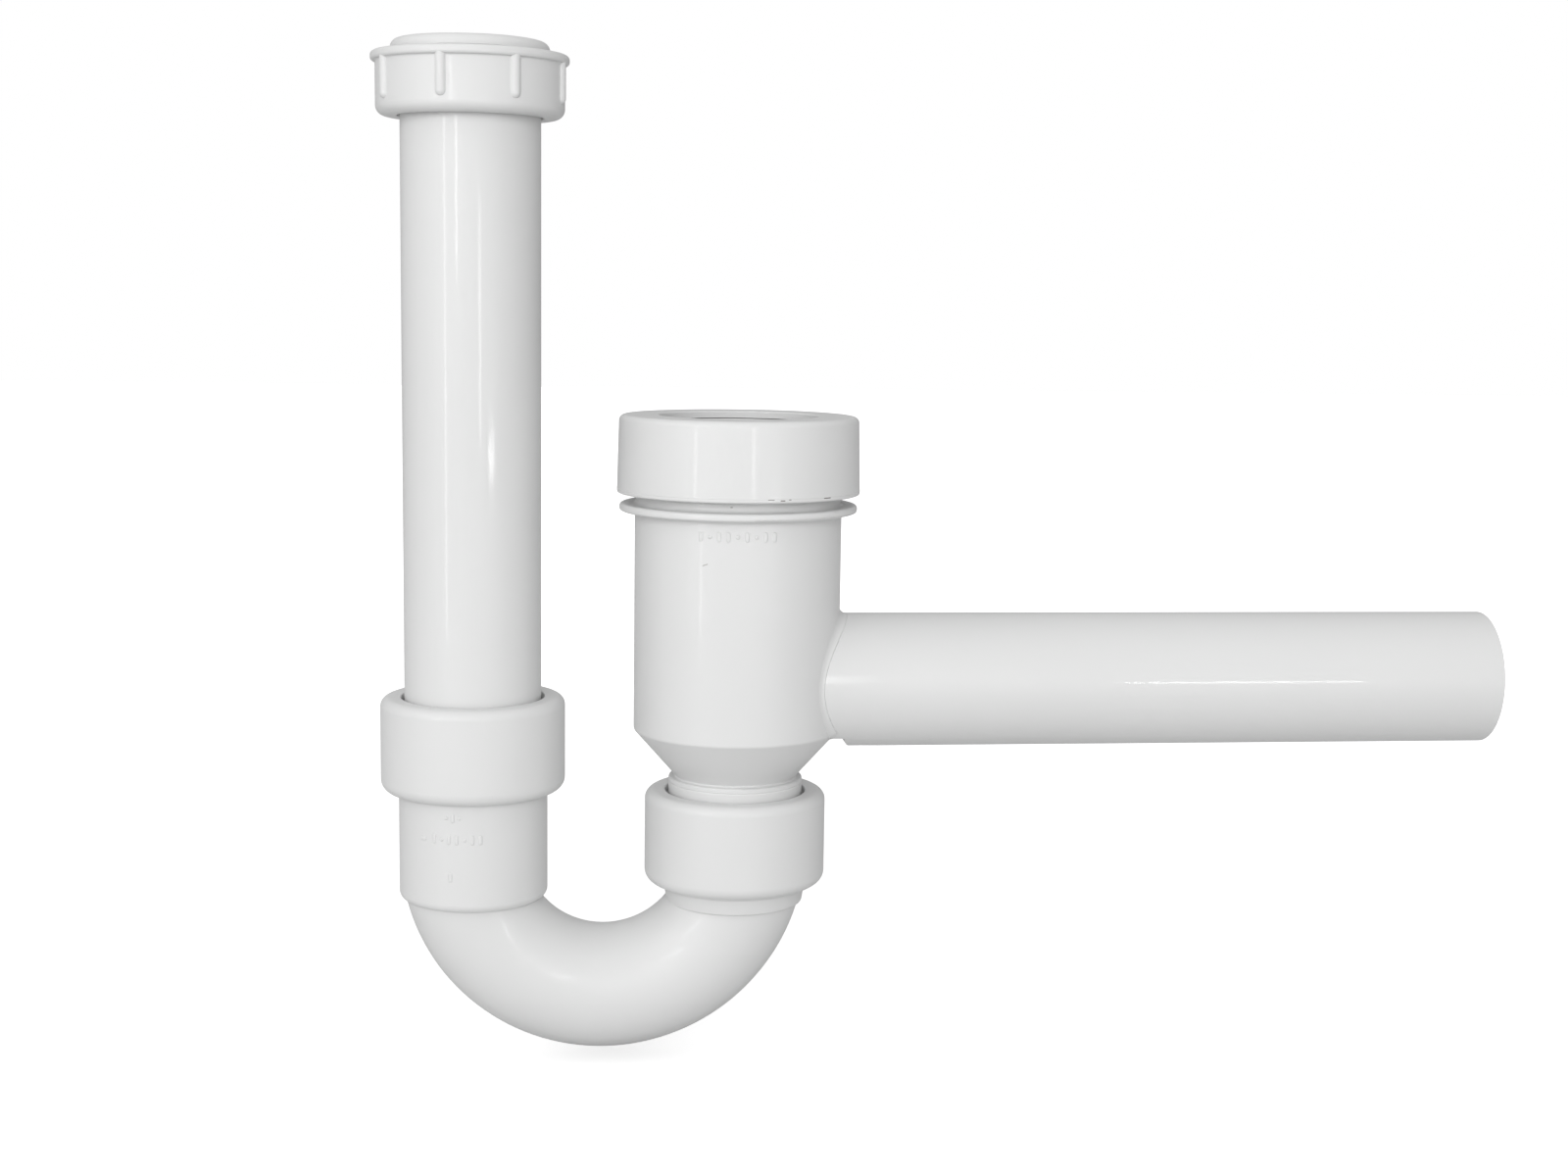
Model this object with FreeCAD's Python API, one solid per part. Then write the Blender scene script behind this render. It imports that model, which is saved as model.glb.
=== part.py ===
import FreeCAD, Part
import math
import os

from FreeCAD import Vector

# P-trap for 50 mm waste pipe, with a telescopic inlet tube and a swivelling U-bend.
# All sizes are in millimetres. The origin is the centre of the outlet pipe's open end,
# +X points out of that end and +Z points up. Every upright piece stands in the plane y = 0.

# ---- Pipe and walls
PIPE_R = 25.0              # outside radius of the inlet tube, the outlet pipe and the spigot
PIPE_WALL = 3.0
PIPE_BORE_R = PIPE_R - PIPE_WALL
RUNNING_GAP = 0.05         # radial play of a seal lip or slip ring on its pipe
TURNING_GAP = 0.4          # radial play between a cap and the socket head it turns on
END_PLAY = 0.3             # axial play between pieces that turn on each other

# ---- Rounds that many pieces share
FINE_EDGE = 0.4            # cut edges, and the small corners of rings
EDGE = 0.5                 # corners of socket heads, seals and lips
SOFT_EDGE = 0.6            # corners of the caps and of the nut's hole
BLUNT_EDGE = 0.8

# ---- Where the upright axes stand
OUTLET_LENGTH = 288.8      # chamber axis to the pipe's open end
AXIS_SPACING = 97.4        # chamber axis to inlet axis
BODY_X = -OUTLET_LENGTH
INLET_X = BODY_X - AXIS_SPACING
BEND_X = (BODY_X + INLET_X) / 2

# ---- Chamber
BODY_R = 38.2
BODY_WALL = 2.4
CONE_TOP_Z = -18.2
CONE_ROUND = 1.6           # round at the cone's top, outside and inside
NECK_R = 22.25             # where the cone runs down to the spigot's shoulder
NECK_ROUND = 0.5
NECK_BORE_R = 20.8
SPIGOT_TOP_Z = -36.25
SPIGOT_END_Z = -75.0
SPIGOT_BORE_R = 22.8
BORE_STEP = (3.0, 1.0)     # below the spigot's top, the bore narrows from the first to the second
INNER_CONE_RISE = (2.05, 1.0)  # how far the inner cone's foot and top stand above the outer ones
WITNESS_Z = -38.2          # shallow groove round the spigot
WITNESS_HALF = 0.35
WITNESS_DEPTH = 0.15
RING_FLANGE_R = 43.9
RING_FLANGE_Z = (63.4, 66.2)
RING_FLANGE_ROUNDS = (1.4, 1.0, 1.2, 1.2)   # from the chamber's wall up to the neck above it
TOP_NECK_R = 37.9
STUB_R = PIPE_BORE_R - RUNNING_GAP   # stub that the outlet pipe is pushed over and welded to
STUB_WALL = 2.0
STUB_BORE_R = STUB_R - STUB_WALL
STUB_REACH = 47.0          # from the chamber's axis to the stub's end
ROOT_ROUND = 5.6           # round under the outlet pipe's root, where a notch bares the stub
ROOT_ROUND_X = 44.9        # from the chamber's axis to that round's centre
ROOT_DEPTH = 5.2           # depth of the notch, more than the pipe's wall
ROOT_DIP = 0.2             # how far the round would reach below the pipe
OUTLET_SPIGOT_LENGTH = 236.0   # true cylinder, free for a socket, from the pipe's open end
OUTLET_TAPER = 0.2         # radius lost between there and the chamber's axis

# ---- Bend
BEND_ARC_R = 52.45         # radius of the bend's centreline
BEND_ARC_Z = -64.0         # height of that arc's centre
BEND_TUBE_R = 23.1
BEND_BORE_R = 21.2
BEND_START_Z = -70.5       # the arc starts inside the sockets, well above their floors
SOCKET_R = 27.3
SOCKET_BORE_R = 25.5
INLET_SOCKET_END_Z = -81.0
INLET_SOCKET_FLOOR_Z = -78.6
RISER_SOCKET_END_Z = -83.7
RISER_SOCKET_FLOOR_Z = -76.5
INLET_SKIRT_ROUND = 3.0
RISER_SKIRT_TOP = 1.0      # height above the cap's foot at which the short socket's skirt starts
RISER_SKIRT_STEP_Z = -77.5
RISER_SKIRT_STEP = 0.4
RISER_SKIRT_R = (26.9, 26.5, 25.6)   # above the step, below it, and at the foot
RISER_SKIRT_ROUND = 0.8

# ---- Inlet tube, gasket, slip ring and union nut
TUBE_END_Z = -57.0
TUBE_LEAD = (0.8, 2.5)     # chamfer on the tube's lower end: radial, axial
COLLAR_R = 28.4
COLLAR_Z = (223.2, 226.4)
GASKET_R = COLLAR_R - 0.2
GASKET_TOP_Z = 230.2
GASKET_ROUND = 3.0
NUT_Z = 203.5
NUT_HEIGHT = 22.2
NUT_R = 33.5
NUT_FOOT_ROUND = 3.6
NUT_HOLE_R = 25.9
NUT_SHOULDER = 2.6
NUT_RELIEF_R = 29.4
NUT_RELIEF_STEP = 0.6
NUT_LEAD = 1.4             # height of the chamfer at the thread's mouth
NUT_FLANGE_R = 35.15
NUT_FLANGE_THICKNESS = 3.3
NUT_FLANGE_ROUNDS = (0.8, 1.2, 1.4)   # under the flange, on its lower rim and on its upper rim
THREAD_CREST_R = 28.75
THREAD_ROOT_R = 29.95
THREAD_PITCH = 2.309       # eleven turns to the inch
THREAD_GROOVE = 1.7        # width of a thread groove at its mouth
THREAD_START = 8.0         # height of the first groove above the nut's bottom
THREAD_TURNS = 6
RIB_COUNT = 8
RIB_PHASE = 29.0           # degrees from +X to the first rib
RIB_WIDTH = 3.9
RIB_TOP_R = 35.0           # how far the ribs' backs stand from the nut's axis
RIB_FOOT = 4.7             # height of the ribs' round ends above the nut's bottom
SLIP_RING_R = 28.6
SLIP_RING_THICKNESS = 1.6
SLIP_RING_ROUND = 0.3

# ---- Push-fit heads
CAP_WALL = 2.6
CAP_GRIP_HEIGHT = 4.2      # height of the lip that grips under the socket head
SEAL_SETBACK = 0.2         # how far the seal stays inside the socket head's outside
SEAL_HEIGHT = 8.0
SEAL_LAND = (1.5, 4.5)     # heights between which the lip touches the pipe
SEAL_OPENING = (1.2, 2.8)  # how far the seal stands off the pipe at its foot and at its top
SUPPORT_PLAY = 0.6         # radial play of a support ring round its pipe

FULL_TURN = 360.0
OVERCUT = 5.0              # how far a cutting tool runs past the metal it cuts
UP = Vector(0, 0, 1)


class PushFit:
    """Sizes of one push-fit head: its cap, and what the cap holds. Heights are from the cap's foot."""

    def __init__(self, pipe_r, hole_r, top_r, foot_r, height, grip_r, head_top, rounds):
        self.pipe_r = pipe_r
        self.hole_r = hole_r
        self.top_r = top_r
        self.foot_r = foot_r
        self.height = height
        self.grip_r = grip_r
        self.head_top = head_top
        self.top_round, self.foot_round = rounds
        self.cavity_r = top_r - CAP_WALL
        self.head_r = self.cavity_r - TURNING_GAP
        self.head_foot = CAP_GRIP_HEIGHT + END_PLAY
        self.seal_r = self.head_r - SEAL_SETBACK
        self.ring_foot = head_top + SEAL_HEIGHT
        self.ring_top = height - CAP_WALL - END_PLAY


SMALL = PushFit(pipe_r=PIPE_R, hole_r=26.2, top_r=33.8, foot_r=33.8, height=35.0,
                grip_r=27.8, head_top=19.0, rounds=(3.5, 4.5))
LARGE = PushFit(pipe_r=28.0, hole_r=29.3, top_r=44.1, foot_r=44.8, height=28.6,
                grip_r=38.3, head_top=14.0, rounds=(2.2, 0.8))
INLET_CAP_Z = -40.4
RISER_CAP_Z = -76.35
TOP_CAP_Z = 70.0


# ---- Shape helpers

def corner(r, z, fillet=0.0):
    """One corner of a turned outline: radius, height and the round put on it."""
    return Vector(r, 0, z), fillet


def outline(corners):
    """Closed wire through the corners, with an arc tangent to both sides at each rounded one."""
    stations = []
    for i, (here, fillet) in enumerate(corners):
        if not fillet:
            stations.append((here, None, here))
            continue
        back = (corners[i - 1][0] - here).normalize()
        ahead = (corners[(i + 1) % len(corners)][0] - here).normalize()
        half_angle = back.getAngle(ahead) / 2
        reach = fillet / math.tan(half_angle)
        inward = (back + ahead).normalize()
        middle = here + inward * (fillet / math.sin(half_angle) - fillet)
        stations.append((here + back * reach, middle, here + ahead * reach))
    edges = []
    for i, (arrive, middle, leave) in enumerate(stations):
        if middle is not None:
            edges.append(Part.Arc(arrive, middle, leave).toShape())
        edges.append(Part.makeLine(leave, stations[(i + 1) % len(stations)][0]))
    return Part.Wire(edges)


def turned(corners, axis_x=0.0):
    """Solid of revolution about the upright axis at axis_x."""
    solid = Part.Face(outline(corners)).revolve(Vector(0, 0, 0), UP, FULL_TURN)
    solid.translate(Vector(axis_x, 0, 0))
    return solid


def upright_cylinder(radius, low_z, high_z, axis_x):
    return Part.makeCylinder(radius, high_z - low_z, Vector(axis_x, 0, low_z), UP)


# ---- Push-fit pieces, used three times

def retaining_cap(fit, foot_z, axis_x):
    """Smooth snap-on cap: hole on top for the pipe, lip below that grips under the socket head."""
    top_z = foot_z + fit.height
    ceiling_z = top_z - CAP_WALL
    grip_z = foot_z + CAP_GRIP_HEIGHT
    return turned([
        corner(fit.hole_r, top_z, SOFT_EDGE),
        corner(fit.top_r, top_z, fit.top_round),
        corner(fit.foot_r, foot_z, fit.foot_round),
        corner(fit.grip_r, foot_z, EDGE),
        corner(fit.grip_r, grip_z),
        corner(fit.cavity_r, grip_z, SOFT_EDGE),
        corner(fit.cavity_r, ceiling_z, SOFT_EDGE),
        corner(fit.hole_r, ceiling_z),
    ], axis_x)


def lip_seal(fit, foot_z, axis_x):
    """Ring on the socket head with a lip that touches the pipe along a short land."""
    land_r = fit.pipe_r + RUNNING_GAP
    land_low, land_high = SEAL_LAND
    open_foot, open_top = SEAL_OPENING
    low = foot_z + fit.head_top
    high = low + SEAL_HEIGHT
    return turned([
        corner(fit.seal_r, low, EDGE),
        corner(fit.seal_r, high, EDGE),
        corner(land_r + open_top, high, FINE_EDGE),
        corner(land_r, low + land_high),
        corner(land_r, low + land_low),
        corner(land_r + open_foot, low),
    ], axis_x)


def support_ring(fit, foot_z, axis_x):
    """Ring between the seal and the cap's ceiling."""
    low = foot_z + fit.ring_foot
    high = foot_z + fit.ring_top
    return turned([
        corner(fit.pipe_r + SUPPORT_PLAY, low),
        corner(fit.seal_r, low),
        corner(fit.seal_r, high, EDGE),
        corner(fit.pipe_r + SUPPORT_PLAY, high, EDGE),
    ], axis_x)


# ---- Chamber and outlet

def chamber_outside():
    """Outer form of the chamber, solid to its axis, from the spigot's end to the socket head."""
    flange_low, flange_high = RING_FLANGE_Z
    under_round, low_round, high_round, over_round = RING_FLANGE_ROUNDS
    head_foot = TOP_CAP_Z + LARGE.head_foot
    head_top = TOP_CAP_Z + LARGE.head_top
    return turned([
        corner(0, SPIGOT_END_Z),
        corner(PIPE_R, SPIGOT_END_Z, BLUNT_EDGE),
        corner(PIPE_R, WITNESS_Z - WITNESS_HALF),
        corner(PIPE_R - WITNESS_DEPTH, WITNESS_Z),
        corner(PIPE_R, WITNESS_Z + WITNESS_HALF),
        corner(PIPE_R, SPIGOT_TOP_Z, SOFT_EDGE),
        corner(NECK_R, SPIGOT_TOP_Z, NECK_ROUND),
        corner(BODY_R, CONE_TOP_Z, CONE_ROUND),
        corner(BODY_R, flange_low, under_round),
        corner(RING_FLANGE_R, flange_low, low_round),
        corner(RING_FLANGE_R, flange_high, high_round),
        corner(TOP_NECK_R, flange_high, over_round),
        corner(TOP_NECK_R, head_foot),
        corner(LARGE.head_r, head_foot, EDGE),
        corner(LARGE.head_r, head_top, EDGE),
        corner(0, head_top),
    ], BODY_X)


def chamber_inside():
    """Hollow of the chamber: the wide part, the cone and the bore of the spigot."""
    inner_r = BODY_R - BODY_WALL
    step_foot, step_top = BORE_STEP
    foot_rise, top_rise = INNER_CONE_RISE
    return turned([
        corner(0, SPIGOT_END_Z - OVERCUT),
        corner(SPIGOT_BORE_R, SPIGOT_END_Z - OVERCUT),
        corner(SPIGOT_BORE_R, SPIGOT_TOP_Z - step_foot),
        corner(NECK_BORE_R, SPIGOT_TOP_Z - step_top),
        corner(NECK_BORE_R, SPIGOT_TOP_Z + foot_rise, CONE_ROUND),
        corner(inner_r, CONE_TOP_Z + top_rise, CONE_ROUND),
        corner(inner_r, TOP_CAP_Z + LARGE.height),
        corner(0, TOP_CAP_Z + LARGE.height),
    ], BODY_X)


def trap_body():
    """Chamber with spigot, cone, ring flange, top socket head and the stub for the outlet pipe."""
    centre = Vector(BODY_X, 0, 0)
    outward = Vector(1, 0, 0)
    stub = Part.makeCylinder(STUB_R, STUB_REACH, centre, outward)
    bore = Part.makeCylinder(STUB_BORE_R, STUB_REACH + OVERCUT, centre, outward)
    return chamber_outside().fuse(stub).cut(chamber_inside()).cut(bore)


def outlet_pipe():
    """Plain pipe from the chamber's wall to the origin, its root cut to the chamber's curve."""
    pipe = turned([
        corner(PIPE_BORE_R, -OUTLET_LENGTH),
        corner(PIPE_R - OUTLET_TAPER, -OUTLET_LENGTH),
        corner(PIPE_R, -OUTLET_SPIGOT_LENGTH),
        corner(PIPE_R, 0, FINE_EDGE),
        corner(PIPE_BORE_R, 0, FINE_EDGE),
    ])
    pipe.rotate(Vector(0, 0, 0), Vector(0, 1, 0), 90)
    notch = Part.makeBox(ROOT_ROUND_X, 2 * PIPE_R, ROOT_DEPTH + OVERCUT,
                         Vector(BODY_X, -PIPE_R, -PIPE_R - OVERCUT))
    round_centre = Vector(BODY_X + ROOT_ROUND_X, -PIPE_R, -PIPE_R - ROOT_DIP + ROOT_ROUND)
    notch = notch.cut(Part.makeCylinder(ROOT_ROUND, 2 * PIPE_R, round_centre, Vector(0, 1, 0)))
    return pipe.cut(chamber_outside()).cut(notch)


# ---- Bend

def socket_block(cap_z, axis_x, skirt):
    """Outside of one socket, solid to its axis: the head inside the cap, then the skirt below."""
    head_top = cap_z + SMALL.head_top
    head_foot = cap_z + SMALL.head_foot
    return turned([
        corner(0, head_top),
        corner(SMALL.head_r, head_top, EDGE),
        corner(SMALL.head_r, head_foot, EDGE),
        corner(SOCKET_R, head_foot),
    ] + skirt, axis_x)


def bend_core(radius):
    """Curved rod of the given radius along the bend's centreline."""
    centre = Vector(BEND_X, 0, BEND_ARC_Z)
    start = math.asin((BEND_ARC_Z - BEND_START_Z) / BEND_ARC_R)
    first = centre + Vector(-math.cos(start), 0, -math.sin(start)) * BEND_ARC_R
    tangent = Vector(math.sin(start), 0, -math.cos(start))
    section = Part.Face(Part.Wire([Part.Circle(first, tangent, radius).toShape()]))
    return section.revolve(centre, Vector(0, -1, 0), 180 - 2 * math.degrees(start))


def socket_bore(cap_z, axis_x, floor_z):
    return upright_cylinder(SOCKET_BORE_R, floor_z, cap_z + SMALL.height, axis_x)


def u_bend():
    """Bend with a long socket on the inlet side and a short one on the chamber side."""
    above_step, below_step, foot_r = RISER_SKIRT_R
    inlet_skirt = [
        corner(SOCKET_R, INLET_SOCKET_END_Z, INLET_SKIRT_ROUND),
        corner(0, INLET_SOCKET_END_Z),
    ]
    riser_skirt = [
        corner(SOCKET_R, RISER_CAP_Z + RISER_SKIRT_TOP),
        corner(above_step, RISER_SKIRT_STEP_Z),
        corner(below_step, RISER_SKIRT_STEP_Z - RISER_SKIRT_STEP),
        corner(foot_r, RISER_SOCKET_END_Z, RISER_SKIRT_ROUND),
        corner(0, RISER_SOCKET_END_Z),
    ]
    outside = bend_core(BEND_TUBE_R).fuse([
        socket_block(INLET_CAP_Z, INLET_X, inlet_skirt),
        socket_block(RISER_CAP_Z, BODY_X, riser_skirt),
    ])
    inside = bend_core(BEND_BORE_R).fuse([
        socket_bore(INLET_CAP_Z, INLET_X, INLET_SOCKET_FLOOR_Z),
        socket_bore(RISER_CAP_Z, BODY_X, RISER_SOCKET_FLOOR_Z),
    ])
    return outside.cut(inside).removeSplitter()


# ---- Inlet tube and its union

def inlet_tube():
    """Sliding tube with a collar at the top for the nut to pull on."""
    lead_in, lead_up = TUBE_LEAD
    collar_low, collar_high = COLLAR_Z
    return turned([
        corner(PIPE_BORE_R, TUBE_END_Z),
        corner(PIPE_R - lead_in, TUBE_END_Z),
        corner(PIPE_R, TUBE_END_Z + lead_up),
        corner(PIPE_R, collar_low),
        corner(COLLAR_R, collar_low, FINE_EDGE),
        corner(COLLAR_R, collar_high, EDGE),
        corner(PIPE_BORE_R, collar_high),
    ], INLET_X)


def inlet_gasket():
    """Flat ring on the collar with a rounded shoulder."""
    foot_z = COLLAR_Z[1]
    return turned([
        corner(PIPE_BORE_R, foot_z),
        corner(GASKET_R, foot_z),
        corner(GASKET_R, GASKET_TOP_Z, GASKET_ROUND),
        corner(PIPE_BORE_R, GASKET_TOP_Z, FINE_EDGE),
    ], INLET_X)


def slip_ring():
    """Thin ring on the nut's shoulder that keeps the turning nut off the collar."""
    low = NUT_Z + NUT_SHOULDER
    return turned([
        corner(PIPE_R + RUNNING_GAP, low),
        corner(SLIP_RING_R, low),
        corner(SLIP_RING_R, low + SLIP_RING_THICKNESS, SLIP_RING_ROUND),
        corner(PIPE_R + RUNNING_GAP, low + SLIP_RING_THICKNESS, SLIP_RING_ROUND),
    ], INLET_X)


def thread_corners():
    """Inside of the nut from its mouth down: parallel V grooves at the thread's pitch."""
    corners = []
    for turn in reversed(range(THREAD_TURNS)):
        middle = NUT_Z + THREAD_START + THREAD_PITCH * turn
        corners += [
            corner(THREAD_CREST_R, middle + THREAD_GROOVE / 2),
            corner(THREAD_ROOT_R, middle),
            corner(THREAD_CREST_R, middle - THREAD_GROOVE / 2),
        ]
    return corners


def nut_rib(angle):
    """One upright half-round grip rib with a ball end, running up into the nut's flange."""
    radius = RIB_WIDTH / 2
    foot = Vector(RIB_TOP_R - radius, 0, NUT_Z + RIB_FOOT + radius)
    height = NUT_Z + NUT_HEIGHT - NUT_FLANGE_THICKNESS / 2 - foot.z
    rib = Part.makeCylinder(radius, height, foot, UP).fuse(Part.makeSphere(radius, foot))
    rib.rotate(Vector(0, 0, 0), UP, angle)
    rib.translate(Vector(INLET_X, 0, 0))
    return rib


def union_nut():
    """Union nut: shoulder with a hole for the tube, inside thread, top flange and grip ribs."""
    top_z = NUT_Z + NUT_HEIGHT
    flange_z = top_z - NUT_FLANGE_THICKNESS
    relief_z = NUT_Z + THREAD_START - THREAD_PITCH / 2
    under_round, low_round, high_round = NUT_FLANGE_ROUNDS
    shell = turned([
        corner(NUT_HOLE_R, NUT_Z, SOFT_EDGE),
        corner(NUT_R, NUT_Z, NUT_FOOT_ROUND),
        corner(NUT_R, flange_z, under_round),
        corner(NUT_FLANGE_R, flange_z, low_round),
        corner(NUT_FLANGE_R, top_z, high_round),
        corner(THREAD_ROOT_R, top_z, FINE_EDGE),
        corner(THREAD_CREST_R, top_z - NUT_LEAD),
    ] + thread_corners() + [
        corner(THREAD_CREST_R, relief_z),
        corner(NUT_RELIEF_R, relief_z - NUT_RELIEF_STEP),
        corner(NUT_RELIEF_R, NUT_Z + NUT_SHOULDER, FINE_EDGE),
        corner(NUT_HOLE_R, NUT_Z + NUT_SHOULDER),
    ], INLET_X)
    ribs = [nut_rib(RIB_PHASE + FULL_TURN * i / RIB_COUNT) for i in range(RIB_COUNT)]
    return shell.fuse(ribs)


nodes = {
    "trap_body": trap_body(),
    "outlet_pipe": outlet_pipe(),
    "top_retaining_cap": retaining_cap(LARGE, TOP_CAP_Z, BODY_X),
    "top_lip_seal": lip_seal(LARGE, TOP_CAP_Z, BODY_X),
    "top_support_ring": support_ring(LARGE, TOP_CAP_Z, BODY_X),
    "u_bend": u_bend(),
    "riser_retaining_cap": retaining_cap(SMALL, RISER_CAP_Z, BODY_X),
    "riser_lip_seal": lip_seal(SMALL, RISER_CAP_Z, BODY_X),
    "riser_support_ring": support_ring(SMALL, RISER_CAP_Z, BODY_X),
    "inlet_retaining_cap": retaining_cap(SMALL, INLET_CAP_Z, INLET_X),
    "inlet_lip_seal": lip_seal(SMALL, INLET_CAP_Z, INLET_X),
    "inlet_support_ring": support_ring(SMALL, INLET_CAP_Z, INLET_X),
    "inlet_tube": inlet_tube(),
    "inlet_gasket": inlet_gasket(),
    "slip_ring": slip_ring(),
    "union_nut": union_nut(),
}

os.makedirs("parts", exist_ok=True)
for name, shape in nodes.items():
    if not shape.isValid() or len(shape.Solids) != 1:
        raise RuntimeError(name + " is not one valid solid")
    shape.Solids[0].exportStep("parts/" + name + ".step")
    print(name, round(shape.Volume), shape.BoundBox)
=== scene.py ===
import math

import bmesh
import bpy
from mathutils import Matrix, Vector


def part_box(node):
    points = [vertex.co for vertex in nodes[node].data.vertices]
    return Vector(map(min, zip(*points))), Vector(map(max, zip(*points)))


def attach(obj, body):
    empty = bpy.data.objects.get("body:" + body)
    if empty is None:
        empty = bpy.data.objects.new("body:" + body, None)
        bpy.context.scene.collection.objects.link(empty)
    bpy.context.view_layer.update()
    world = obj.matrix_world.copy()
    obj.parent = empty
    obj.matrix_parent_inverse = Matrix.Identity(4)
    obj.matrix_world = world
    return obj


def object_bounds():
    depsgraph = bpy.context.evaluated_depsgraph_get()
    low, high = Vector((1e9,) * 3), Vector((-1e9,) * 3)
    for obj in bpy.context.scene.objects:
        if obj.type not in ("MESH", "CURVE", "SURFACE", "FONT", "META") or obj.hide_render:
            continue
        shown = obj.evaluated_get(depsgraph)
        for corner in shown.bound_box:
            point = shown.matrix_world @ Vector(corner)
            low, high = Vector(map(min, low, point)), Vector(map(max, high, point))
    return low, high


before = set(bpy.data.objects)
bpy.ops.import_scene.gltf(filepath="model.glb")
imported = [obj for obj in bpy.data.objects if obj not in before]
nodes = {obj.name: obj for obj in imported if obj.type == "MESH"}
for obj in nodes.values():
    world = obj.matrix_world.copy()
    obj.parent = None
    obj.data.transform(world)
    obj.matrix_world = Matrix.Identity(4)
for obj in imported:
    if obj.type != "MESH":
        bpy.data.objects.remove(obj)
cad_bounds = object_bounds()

# P-trap in white plastic. All lengths are in metres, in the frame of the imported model:
# the origin is the centre of the outlet pipe's open end, +X out of that end and +Z up.


def middle(node):
    low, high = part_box(node)
    return (low + high) / 2


BODY_X = middle("top_retaining_cap").x
INLET_X = middle("inlet_tube").x
OUTLET_LOW, OUTLET_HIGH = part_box("outlet_pipe")
PIPE_R = (OUTLET_HIGH.z - OUTLET_LOW.z) / 2
CAP_LOW, CAP_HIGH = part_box("top_retaining_cap")
CAP_FOOT_Z = CAP_LOW.z
CAP_HEIGHT = CAP_HIGH.z - CAP_LOW.z

# ---- Sizes of the details
BODY_R = 0.0382            # chamber's outside radius
SOCKET_R = 0.0273          # outside radius of the bend's sockets
CONE_TOP_Z = -0.0182       # height at which the chamber starts to narrow
CONE_SLOPE = 14.8 / 16.75  # radius lost for each metre of height below that
WELD_RADIUS = 0.0030       # concave round between chamber and outlet pipe
WELD_STATIONS = 160        # cross-sections along the weld
WELD_ARC_STEPS = 8         # steps round the concave side of each of them
WELD_DEPTH = 0.0003        # how far the weld's hidden corner goes into the joint
NOTCH_Z = -0.0198          # height of the notch under the outlet pipe's root
SINK = 0.00004             # how far the weld's edge goes under the chamber's surface
WELD_SINK = 0.00012        # the same at the outlet pipe, which tapers a little towards its root
CAP_FOOT_R = 0.0448        # top cap's radius at its foot
CAP_TAPER = 0.0007         # radius lost from the top cap's foot to its top
TOP_NECK_R = 0.0379        # chamber's radius in the gap under the top cap
PARTING_UP = 0.0016        # top cap's parting line: height above the cap's foot,
PARTING_WIDTH = 0.0003     # width,
PARTING_HEIGHT = 0.00008   # and how far it stands out
BODY_MARKS_Z = 0.0575      # height of the row of marks on the chamber
BODY_MARK_WIDTH = 0.0015
SOCKET_MARK_WIDTH = 0.0014
MARK_HEIGHT = 0.0003       # how far the marks stand out
CAP_SPECK_HEIGHT = 0.00004
FACING = -95.2             # direction from the chamber to the camera, in degrees from +X

# ---- Camera
CAMERA_PLACE = Vector((BODY_X - 0.07216, -0.80005, 0.14172))
CAMERA_HEADING = math.radians(6.39)    # from +Y towards +X
CAMERA_PITCH = math.radians(7.589)     # downwards
CAMERA_ROLL = math.radians(0.843)
CAMERA_LENS = 50.07                    # millimetres, as is the sensor's width
CAMERA_SENSOR = 36
CAMERA_CLIP = (0.01, 50)               # nearest and farthest distance that it sees


def add_camera():
    right = Vector((math.cos(CAMERA_HEADING), -math.sin(CAMERA_HEADING), 0))
    level = Vector((math.sin(CAMERA_HEADING), math.cos(CAMERA_HEADING), 0))
    ahead = level * math.cos(CAMERA_PITCH) - Vector((0, 0, 1)) * math.sin(CAMERA_PITCH)
    up = right.cross(ahead)
    across = right * math.cos(CAMERA_ROLL) + up * math.sin(CAMERA_ROLL)
    upward = up * math.cos(CAMERA_ROLL) - right * math.sin(CAMERA_ROLL)
    data = bpy.data.cameras.new("camera")
    data.sensor_width = CAMERA_SENSOR
    data.lens = CAMERA_LENS
    data.clip_start, data.clip_end = CAMERA_CLIP
    camera = bpy.data.objects.new("camera", data)
    bpy.context.scene.collection.objects.link(camera)
    turn = Matrix((across, upward, -ahead)).transposed().to_4x4()
    camera.matrix_world = Matrix.Translation(CAMERA_PLACE) @ turn
    bpy.context.scene.camera = camera


add_camera()

# ---- Materials


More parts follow.
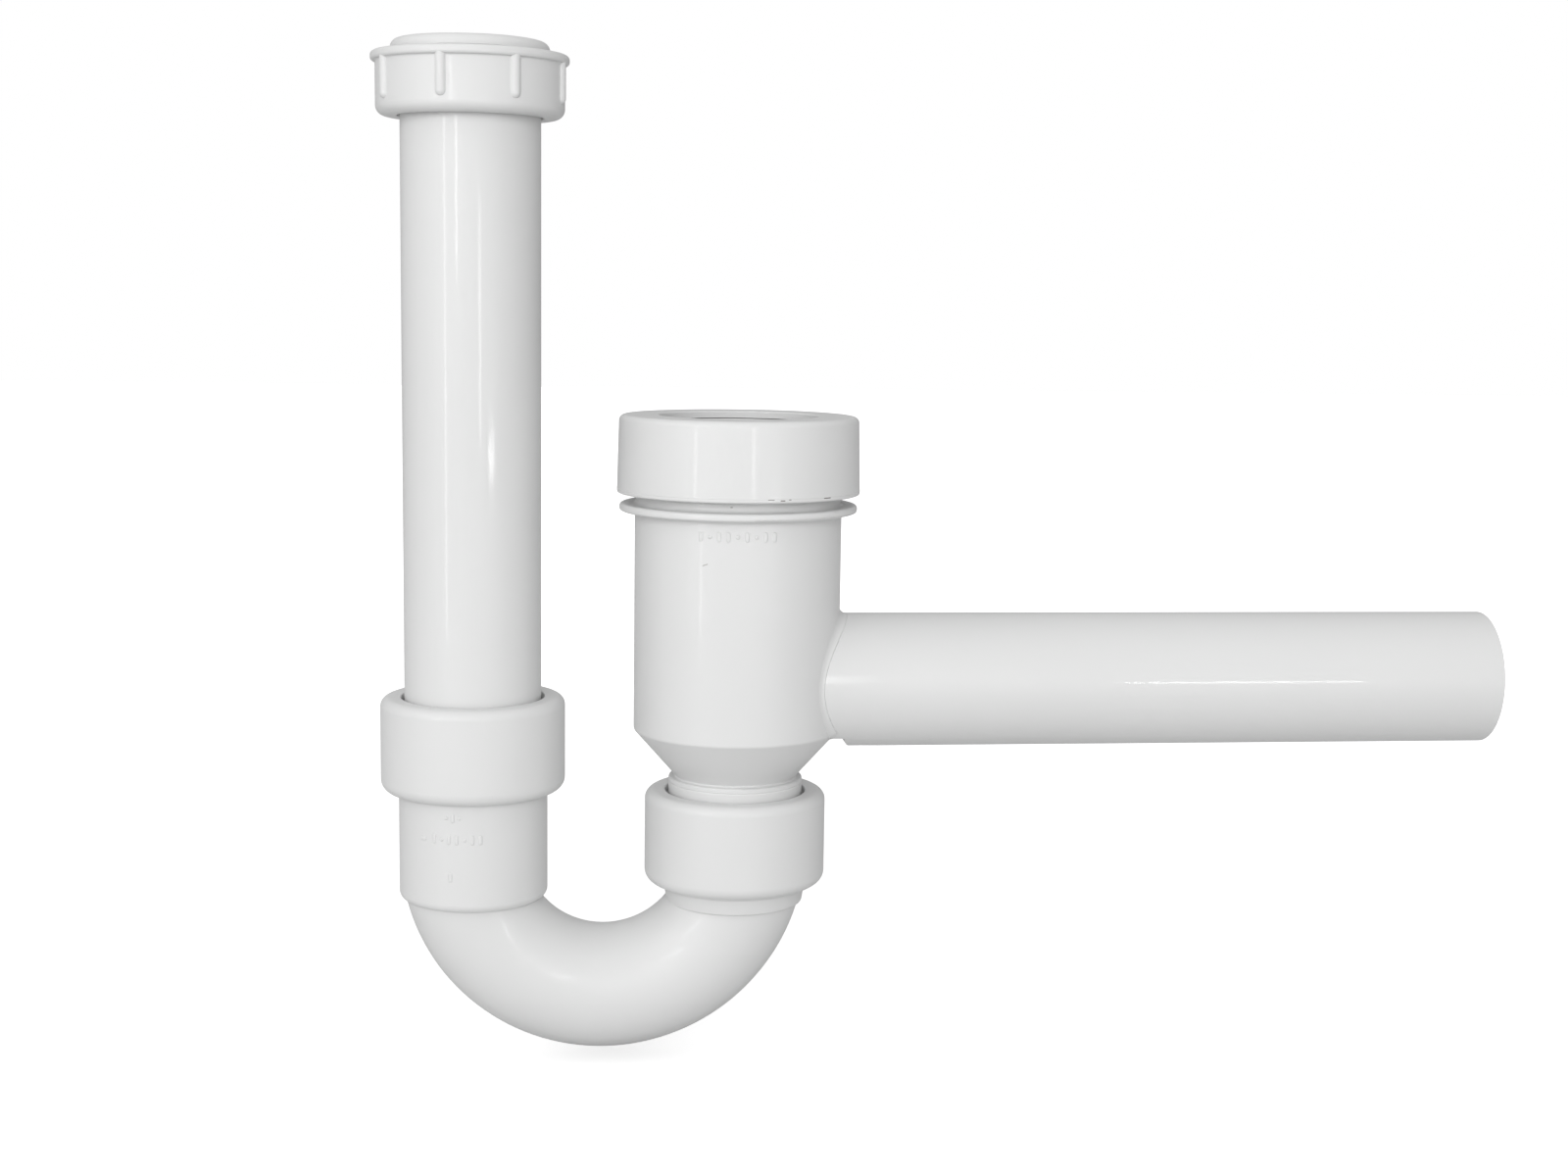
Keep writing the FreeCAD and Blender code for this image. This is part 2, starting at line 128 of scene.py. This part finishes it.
class Nodes:
    """Short forms for making and joining shader nodes in one material."""

    def __init__(self, name):
        self.material = bpy.data.materials.new(name)
        self.material.use_nodes = True
        self.tree = self.material.node_tree
        self.shader = self.tree.nodes["Principled BSDF"]

    def add(self, kind, **values):
        """New node, with its settings or inputs given by name."""
        node = self.tree.nodes.new(kind)
        for key, value in values.items():
            if hasattr(node, key):
                setattr(node, key, value)
            else:
                node.inputs[key].default_value = value
        return node

    def join(self, source, target):
        self.tree.links.new(source, target)

    def noise(self, coordinates, scale, detail, roughness=0.5):
        node = self.add("ShaderNodeTexNoise", Scale=scale, Detail=detail, Roughness=roughness)
        self.join(coordinates, node.inputs["Vector"])
        return node.outputs["Fac"]

    def spread(self, value, low, high, from_low=0.3, from_high=0.7):
        """Value mapped to low and high from a range, by default the one that noise fills."""
        node = self.add("ShaderNodeMapRange")
        for socket, number in zip(("From Min", "From Max", "To Min", "To Max"),
                                  (from_low, from_high, low, high)):
            node.inputs[socket].default_value = number
        self.join(value, node.inputs["Value"])
        return node.outputs["Result"]

    def blend_colours(self, factor, first, second):
        node = self.add("ShaderNodeMix", data_type="RGBA")
        self.join(factor, node.inputs["Factor"])
        for socket, colour in (("A", first), ("B", second)):
            target = [s for s in node.inputs if s.name == socket and s.type == "RGBA"][0]
            target.default_value = (*colour, 1)
        return [s for s in node.outputs if s.type == "RGBA"][0]

    def bump(self, height, distance, strength, normal=None):
        node = self.add("ShaderNodeBump", Strength=strength, Distance=distance)
        self.join(height, node.inputs["Height"])
        if normal is not None:
            self.join(normal, node.inputs["Normal"])
        return node.outputs["Normal"]


# Noise layers: scale, detail and, where it isn't the usual one, roughness.
CLOUDS = (14, 2)
HANDLING = (60, 4, 0.6)
WAVES = (30, 1)
GRAIN = (2600, 2)
DRAWN_LINES = (1, 2)
# Bumps made of them: depth and strength. The grain's depth goes with the material.
WAVES_BUMP = (0.0002, 0.2)
LINES_BUMP = (0.00003, 0.5)
GRAIN_STRENGTH = 0.5
PLASTIC_IOR = 1.49
COAT_ROUGHNESS = 0.08


def plastic(name, tone, shade, roughness, grain, drawn=None, coat=0.0):
    """White plastic with soft clouds of tone, a fine grain, faint waves and perhaps drawing lines.

    tone and shade are the lighter and darker colour, roughness a pair of limits, grain the
    depth of the moulded texture, drawn the scale factors that stretch the drawing lines along
    an axis, and coat the weight of the clear gloss that gives the narrow streaks of light."""
    n = Nodes(name)
    place = n.add("ShaderNodeTexCoord").outputs["Object"]
    clouds = n.spread(n.noise(place, *CLOUDS), 0, 1)
    n.join(n.blend_colours(clouds, tone, shade), n.shader.inputs["Base Color"])
    handled = n.noise(place, *HANDLING)
    n.join(n.spread(handled, *roughness), n.shader.inputs["Roughness"])
    waves = n.bump(n.noise(place, *WAVES), *WAVES_BUMP)
    surface = n.bump(n.noise(place, *GRAIN), grain, GRAIN_STRENGTH, waves)
    if drawn:
        stretch = n.add("ShaderNodeMapping", vector_type="POINT")
        stretch.inputs["Scale"].default_value = drawn
        n.join(place, stretch.inputs["Vector"])
        lines = n.noise(stretch.outputs["Vector"], *DRAWN_LINES)
        surface = n.bump(lines, *LINES_BUMP, surface)
    n.join(surface, n.shader.inputs["Normal"])
    n.shader.inputs["IOR"].default_value = PLASTIC_IOR
    n.shader.inputs["Coat Weight"].default_value = coat
    n.shader.inputs["Coat Roughness"].default_value = COAT_ROUGHNESS
    return n.material


WHITE = (0.710, 0.712, 0.710)
WHITE_SHADE = (0.695, 0.697, 0.695)
RING_WHITE = (0.70, 0.70, 0.69)
DRAWN_UPRIGHT = (900, 900, 6)    # lines that run along Z
DRAWN_LEVEL = (6, 900, 900)      # lines that run along X
MOULDED_COAT = 0.15
PIPE_COAT = 0.25
PIPE_ROUGHNESS = (0.40, 0.45)
PIPE_GRAIN = 0.00001

moulded = plastic("moulded_white", WHITE, WHITE_SHADE, (0.33, 0.43), 0.00004, coat=MOULDED_COAT)
cap_white = plastic("cap_white", WHITE, WHITE_SHADE, (0.38, 0.48), 0.00005, coat=MOULDED_COAT)
tube_white = plastic("inlet_tube_white", WHITE, WHITE_SHADE,
                     PIPE_ROUGHNESS, PIPE_GRAIN, DRAWN_UPRIGHT, PIPE_COAT)
outlet_white = plastic("outlet_pipe_white", WHITE, WHITE_SHADE,
                       PIPE_ROUGHNESS, PIPE_GRAIN, DRAWN_LEVEL, PIPE_COAT)
gasket_white = plastic("gasket_white", WHITE, WHITE_SHADE, (0.35, 0.45), 0.00002)
ring_white = plastic("ring_white", RING_WHITE, WHITE_SHADE, (0.40, 0.50), 0.00003)


RUBBER_BLACK = (0.028, 0.028, 0.03)
RUBBER_BLOOM = (0.055, 0.055, 0.056)
RUBBER_ROUGHNESS = (0.45, 0.65)
BLOOM_PATCHES = (70, 4)    # noise layers, as above
RUBBER_SHEEN = (200, 3)
RUBBER_GRAIN = (2200, 2)
RUBBER_BUMP = (0.00003, 0.5)


def rubber():
    """Black rubber with a pale bloom in patches and a fine grain."""
    n = Nodes("seal_rubber")
    place = n.add("ShaderNodeTexCoord").outputs["Object"]
    patches = n.spread(n.noise(place, *BLOOM_PATCHES), 0, 1)
    bloom = n.blend_colours(patches, RUBBER_BLACK, RUBBER_BLOOM)
    n.join(bloom, n.shader.inputs["Base Color"])
    sheen = n.spread(n.noise(place, *RUBBER_SHEEN), *RUBBER_ROUGHNESS)
    n.join(sheen, n.shader.inputs["Roughness"])
    grain = n.bump(n.noise(place, *RUBBER_GRAIN), *RUBBER_BUMP)
    n.join(grain, n.shader.inputs["Normal"])
    return n.material


seal_rubber = rubber()


DIRT_ROUGHNESS = 0.8


def dirt(name, colour):
    """Dull plain colour for specks and scuffs."""
    n = Nodes(name)
    n.shader.inputs["Base Color"].default_value = (*colour, 1)
    n.shader.inputs["Roughness"].default_value = DIRT_ROUGHNESS
    return n.material


grime = dirt("grime", (0.2, 0.19, 0.18))
scuff = dirt("scuff", (0.38, 0.37, 0.36))

NODE_MATERIALS = {
    "trap_body": moulded,
    "outlet_pipe": outlet_white,
    "top_retaining_cap": cap_white,
    "top_lip_seal": seal_rubber,
    "top_support_ring": ring_white,
    "u_bend": moulded,
    "riser_retaining_cap": cap_white,
    "riser_lip_seal": seal_rubber,
    "riser_support_ring": ring_white,
    "inlet_retaining_cap": cap_white,
    "inlet_lip_seal": seal_rubber,
    "inlet_support_ring": ring_white,
    "inlet_tube": tube_white,
    "inlet_gasket": gasket_white,
    "slip_ring": ring_white,
    "union_nut": cap_white,
}
for node_name, material in NODE_MATERIALS.items():
    nodes[node_name].data.materials.clear()
    nodes[node_name].data.materials.append(material)

# ---- Pieces


def new_piece(name, mesh, material, body):
    """Adds a piece that rides on a body and belongs to a material slot."""
    piece = bpy.data.objects.new(name, mesh)
    bpy.context.scene.collection.objects.link(piece)
    mesh.materials.append(material)
    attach(piece, body)


def mesh_from_chains(name, chains, ring=False):
    """Closed mesh of chains of closed loops, each capped at both ends or joined as a ring."""
    form = bmesh.new()
    for loops in chains:
        rows = [[form.verts.new(point) for point in loop] for loop in loops]
        count = len(rows[0])
        following = rows[1:] + rows[:1] if ring else rows[1:]
        for low, high in zip(rows, following):
            for i in range(count):
                j = (i + 1) % count
                form.faces.new((low[i], low[j], high[j], high[i]))
        if not ring:
            form.faces.new(reversed(rows[0]))
            form.faces.new(rows[-1])
    bmesh.ops.recalc_face_normals(form, faces=form.faces)
    mesh = bpy.data.meshes.new(name)
    form.to_mesh(mesh)
    form.free()
    for face in mesh.polygons:
        face.use_smooth = True
    return mesh


def chamber_radius(z):
    return BODY_R - max(0, CONE_TOP_Z - z) * CONE_SLOPE


def root_weld():
    """Concave weld between outlet pipe and chamber, from one side of the notch to the other."""
    end_angle = math.acos(NOTCH_Z / PIPE_R)
    loops = []
    for i in range(WELD_STATIONS + 1):
        angle = end_angle * (2 * i / WELD_STATIONS - 1)
        y = PIPE_R * math.sin(angle)
        z = PIPE_R * math.cos(angle)
        radius = chamber_radius(z)
        x = math.sqrt(radius * radius - y * y)
        meet = Vector((x, y, z))
        slope = CONE_SLOPE if z < CONE_TOP_Z else 0
        chamber_normal = Vector((x / radius, y / radius, -slope)).normalized()
        pipe_normal = Vector((0, y, z)) / PIPE_R
        half = chamber_normal.angle(pipe_normal) / 2
        between = (chamber_normal + pipe_normal).normalized()
        centre = meet + between * (WELD_RADIUS / math.cos(half))
        loop = []
        for k in range(WELD_ARC_STEPS + 1):
            mix = k / WELD_ARC_STEPS
            spoke = (chamber_normal * (1 - mix) + pipe_normal * mix).normalized()
            loop.append(centre - spoke * WELD_RADIUS)
        first, last = loop[0], loop[-1]
        flat = math.hypot(first.x, first.y)
        loop[0] = Vector((first.x, first.y, 0)) * ((chamber_radius(first.z) - SINK) / flat)
        loop[0].z = first.z
        flat = math.hypot(last.y, last.z)
        loop[-1] = Vector((0, last.y, last.z)) * ((PIPE_R - WELD_SINK) / flat)
        loop[-1].x = last.x
        loop.append(meet - between * WELD_DEPTH)
        loops.append([p + Vector((BODY_X, 0, 0)) for p in loop])
    return mesh_from_chains("outlet_root_weld", [loops])


# Sections of a mark from its hidden foot to its top: share of the half width that is cut
# away, and share of the height.
MARK_PROFILE = ((0, -0.8), (0, 0.35), (0.25, 0.8), (0.6, 1.0))
MARK_END_STEPS = 10


def raised_mark(axis_x, radius, turn, z, length, width, height, slant=0.0):
    """Loops of one small raised bar with round ends on an upright round wall.

    radius gives the wall's radius at a height, turn is in degrees from FACING, and slant turns
    the bar in its own plane. A bar no longer than it is wide is a round pip."""
    reach = max(0.0, (length - width) / 2)
    cosine, sine = math.cos(math.radians(slant)), math.sin(math.radians(slant))
    loops = []
    for inset, rise in MARK_PROFILE:
        loop = []
        half = width / 2 * (1 - inset)
        for side in (1, -1):
            for k in range(MARK_END_STEPS + 1):
                angle = math.pi * (k / MARK_END_STEPS - 0.5)
                along = side * (reach + half * math.cos(angle))
                up = side * half * math.sin(angle)
                across, rising = along * cosine - up * sine, along * sine + up * cosine
                wall = radius(z + rising)
                bearing = math.radians(FACING + turn) + across / wall
                out = wall + height * rise
                loop.append(Vector((axis_x + out * math.cos(bearing),
                                    out * math.sin(bearing), z + rising)))
        loops.append(loop)
    return loops


# Section of a ridge: shares of its width and of its height.
RIDGE_PROFILE = ((-0.5, -1.0), (-0.5, 0.0), (-0.2, 1.0), (0.2, 1.0), (0.5, 0.0), (0.5, -1.0))
RIDGE_STEPS = 240


def ridge(axis_x, radius, z, width, height):
    """Loops of a fine ridge all round an upright wall."""
    loops = []
    for i in range(RIDGE_STEPS):
        bearing = 2 * math.pi * i / RIDGE_STEPS
        loop = []
        for rise, out in RIDGE_PROFILE:
            level = z + rise * width
            r = radius(level) + out * height
            loop.append(Vector((axis_x + r * math.cos(bearing), r * math.sin(bearing), level)))
        loops.append(loop)
    return loops


def cap_radius(z):
    return CAP_FOOT_R - CAP_TAPER * (z - CAP_FOOT_Z) / CAP_HEIGHT


def socket_radius(z):
    return SOCKET_R


def neck_radius(z):
    return TOP_NECK_R


new_piece("outlet_root_weld", root_weld(), moulded, "chamber")
parting_line = ridge(BODY_X, cap_radius, CAP_FOOT_Z + PARTING_UP, PARTING_WIDTH, PARTING_HEIGHT)
new_piece("top_cap_parting_line",
          mesh_from_chains("top_cap_parting_line", [parting_line], ring=True),
          cap_white, "top_cap")

# Plain pips and bars stand where the photographed trap has lettering.
# On the chamber: turn, length. On the long socket: turn, height, length, slant.
BODY_MARKS = [(-20, 0.0036), (-15, 0.0015), (-10, 0.0036), (-5, 0.0036), (0, 0.0015),
              (5, 0.0036), (10, 0.0015), (15, 0.0036), (20, 0.0036)]
body_marks = [raised_mark(BODY_X, chamber_radius, turn, BODY_MARKS_Z, length,
                          BODY_MARK_WIDTH, MARK_HEIGHT, slant=90)
              for turn, length in BODY_MARKS]
new_piece("chamber_marks", mesh_from_chains("chamber_marks", body_marks),
          moulded, "chamber")
SOCKET_MARKS = [(-34, -0.0540, 0.0026, 0), (-24, -0.0535, 0.0036, 90), (-18, -0.0535, 0.0015, 90),
                (-12, -0.0535, 0.0036, 90), (-6, -0.0535, 0.0036, 90), (0, -0.0535, 0.0015, 90),
                (6, -0.0535, 0.0036, 90), (12, -0.0535, 0.0036, 90), (-14, -0.0455, 0.0015, 0),
                (-9, -0.0455, 0.0036, 90), (-4, -0.0455, 0.0015, 0), (-11, -0.0675, 0.0034, 90)]
socket_marks = [raised_mark(INLET_X, socket_radius, turn, z, length,
                            SOCKET_MARK_WIDTH, MARK_HEIGHT, slant)
                for turn, z, length, slant in SOCKET_MARKS]
new_piece("socket_marks", mesh_from_chains("socket_marks", socket_marks),
          moulded, "bend")

# Specks of dirt on the top cap's lower edge: turn, height above the cap's foot, length, width.
CAP_SPECKS = [(15.0, 0.0014, 0.0024, 0.0003), (20.5, 0.0010, 0.0018, 0.0004),
              (24.0, 0.0013, 0.0010, 0.0003), (45.0, 0.0013, 0.0034, 0.0004)]
cap_specks = [raised_mark(BODY_X, cap_radius, turn, CAP_FOOT_Z + up, length, width,
                          CAP_SPECK_HEIGHT)
              for turn, up, length, width in CAP_SPECKS]
new_piece("top_cap_specks", mesh_from_chains("top_cap_specks", cap_specks),
          grime, "top_cap")
# A speck under the cap and a scuff lower down: wall, turn, height, length, width, rise, slant.
BODY_SPECKS = [(neck_radius, -3.5, 0.0681, 0.0009, 0.0004, 0.00004, 0),
               (chamber_radius, -17.5, 0.0474, 0.0021, 0.0003, 0.00003, 20)]
body_specks = [raised_mark(BODY_X, *speck) for speck in BODY_SPECKS]
new_piece("chamber_specks", mesh_from_chains("chamber_specks", body_specks),
          scuff, "chamber")

# ---- Floor and light
FLOOR_DROP = 0.004         # how far the floor lies under the object's lowest point
FLOOR_HALF = 6.0           # half of its side
FLOOR_GREY = 0.65
FLOOR_ROUGHNESS = 0.9
FLOOR_FADE = (0.25, 1.1)   # distances over which the floor's own glow rises
FLOOR_GLOW = (0.60, 0.85)  # that glow, near the object and far from it
AMBIENT = (0.27, 0.77)     # strength of the surroundings as a light, at their dimmest and brightest
BRIGHT_SIDE = (-0.42, -0.66, 0.62)    # direction in which they are brightest
# Soft lights, placed from the object's middle: name, place, side, power, whether it is mirrored.
SOFT_LIGHTS = [("front", (-0.45, -2.60, 0.66), 1.0, 31.5, False),
               ("left", (-1.4, -0.9, 0.9), 1.2, 3.2, True),
               ("back", (-0.1, 1.7, 1.1), 1.0, 6.0, False)]
# Narrow strips, seen only as streaks in the gloss: name, place across and up, width, height, power.
STREAK_Y = -0.80           # how far in front of the object's middle they stand
STREAKS = [("right_strip", (0.04, 0.075), 0.05, 0.17, 0.35),
           ("left_strip", (-0.49, 0.19), 0.05, 0.16, 0.42),
           ("far_left_strip", (-0.88, 0.0), 0.05, 0.9, 1.6),
           ("wide_strip", (0.36, -0.030), 0.17, 0.03, 0.45)]


def add_floor(middle_of_object, lowest):
    """Pale floor that fades to white with distance. Its glow is for the camera only."""
    mesh = bpy.data.meshes.new("floor")
    corners = [(FLOOR_HALF * a, FLOOR_HALF * b, 0) for a, b in ((-1, -1), (1, -1), (1, 1), (-1, 1))]
    mesh.from_pydata(corners, [], [(0, 1, 2, 3)])
    floor = bpy.data.objects.new("floor", mesh)
    floor.location = (middle_of_object.x, middle_of_object.y, lowest - FLOOR_DROP)
    bpy.context.scene.collection.objects.link(floor)
    n = Nodes("floor_white")
    n.shader.inputs["Base Color"].default_value = (FLOOR_GREY, FLOOR_GREY, FLOOR_GREY, 1)
    n.shader.inputs["Roughness"].default_value = FLOOR_ROUGHNESS
    n.shader.inputs["Emission Color"].default_value = (1, 1, 1, 1)
    distance = n.add("ShaderNodeVectorMath", operation="LENGTH")
    n.join(n.add("ShaderNodeTexCoord").outputs["Object"], distance.inputs[0])
    glow = n.spread(distance.outputs["Value"], *FLOOR_GLOW, *FLOOR_FADE)
    seen = n.add("ShaderNodeMath", operation="MULTIPLY")
    n.join(glow, seen.inputs[0])
    n.join(n.add("ShaderNodeLightPath").outputs["Is Camera Ray"], seen.inputs[1])
    n.join(seen.outputs["Value"], n.shader.inputs["Emission Strength"])
    mesh.materials.append(n.material)


def add_light(name, place, target, width, height, power, mirrored=True, lighting=True):
    """Rectangular area light that the camera doesn't see.

    One that isn't mirrored gives no highlight, and one without lighting gives nothing else."""
    data = bpy.data.lights.new(name, "AREA")
    data.shape = "RECTANGLE"
    data.size = width
    data.size_y = height
    data.energy = power
    light = bpy.data.objects.new(name, data)
    bpy.context.scene.collection.objects.link(light)
    light.location = place
    light.rotation_euler = (Vector(target) - Vector(place)).to_track_quat("-Z", "Y").to_euler()
    light.visible_camera = False
    light.visible_glossy = mirrored
    light.visible_diffuse = lighting


def add_world():
    """White surroundings: full white to the camera, and dimmer as a light.

    As a light they are brightest from BRIGHT_SIDE and dimmest from the side opposite to it."""
    world = bpy.data.worlds.new("studio")
    bpy.context.scene.world = world
    world.use_nodes = True
    tree = world.node_tree
    background = tree.nodes["Background"]
    background.inputs["Color"].default_value = (1, 1, 1, 1)
    side = tree.nodes.new("ShaderNodeVectorMath")
    side.operation = "DOT_PRODUCT"
    side.inputs[1].default_value = BRIGHT_SIDE
    tree.links.new(tree.nodes.new("ShaderNodeTexCoord").outputs["Generated"], side.inputs[0])
    glow = tree.nodes.new("ShaderNodeMapRange")
    for socket, number in zip(("From Min", "From Max", "To Min", "To Max"), (-1, 1, *AMBIENT)):
        glow.inputs[socket].default_value = number
    tree.links.new(side.outputs["Value"], glow.inputs["Value"])
    seen = tree.nodes.new("ShaderNodeMapRange")
    tree.links.new(glow.outputs["Result"], seen.inputs["To Min"])
    seen.inputs["To Max"].default_value = 1.0
    path = tree.nodes.new("ShaderNodeLightPath")
    tree.links.new(path.outputs["Is Camera Ray"], seen.inputs["Value"])
    tree.links.new(seen.outputs["Result"], background.inputs["Strength"])


low, high = (Vector(v) for v in cad_bounds)
object_middle = (low + high) / 2
add_floor(object_middle, low.z)
add_world()
for light_name, offset, side, power, mirrored in SOFT_LIGHTS:
    add_light(light_name, object_middle + Vector(offset), object_middle, side, side, power,
              mirrored=mirrored)
for light_name, (across, up), width, height, power in STREAKS:
    add_light(light_name, object_middle + Vector((across, STREAK_Y, up)), object_middle,
              width, height, power, lighting=False)
bpy.context.scene.view_settings.view_transform = "Standard"
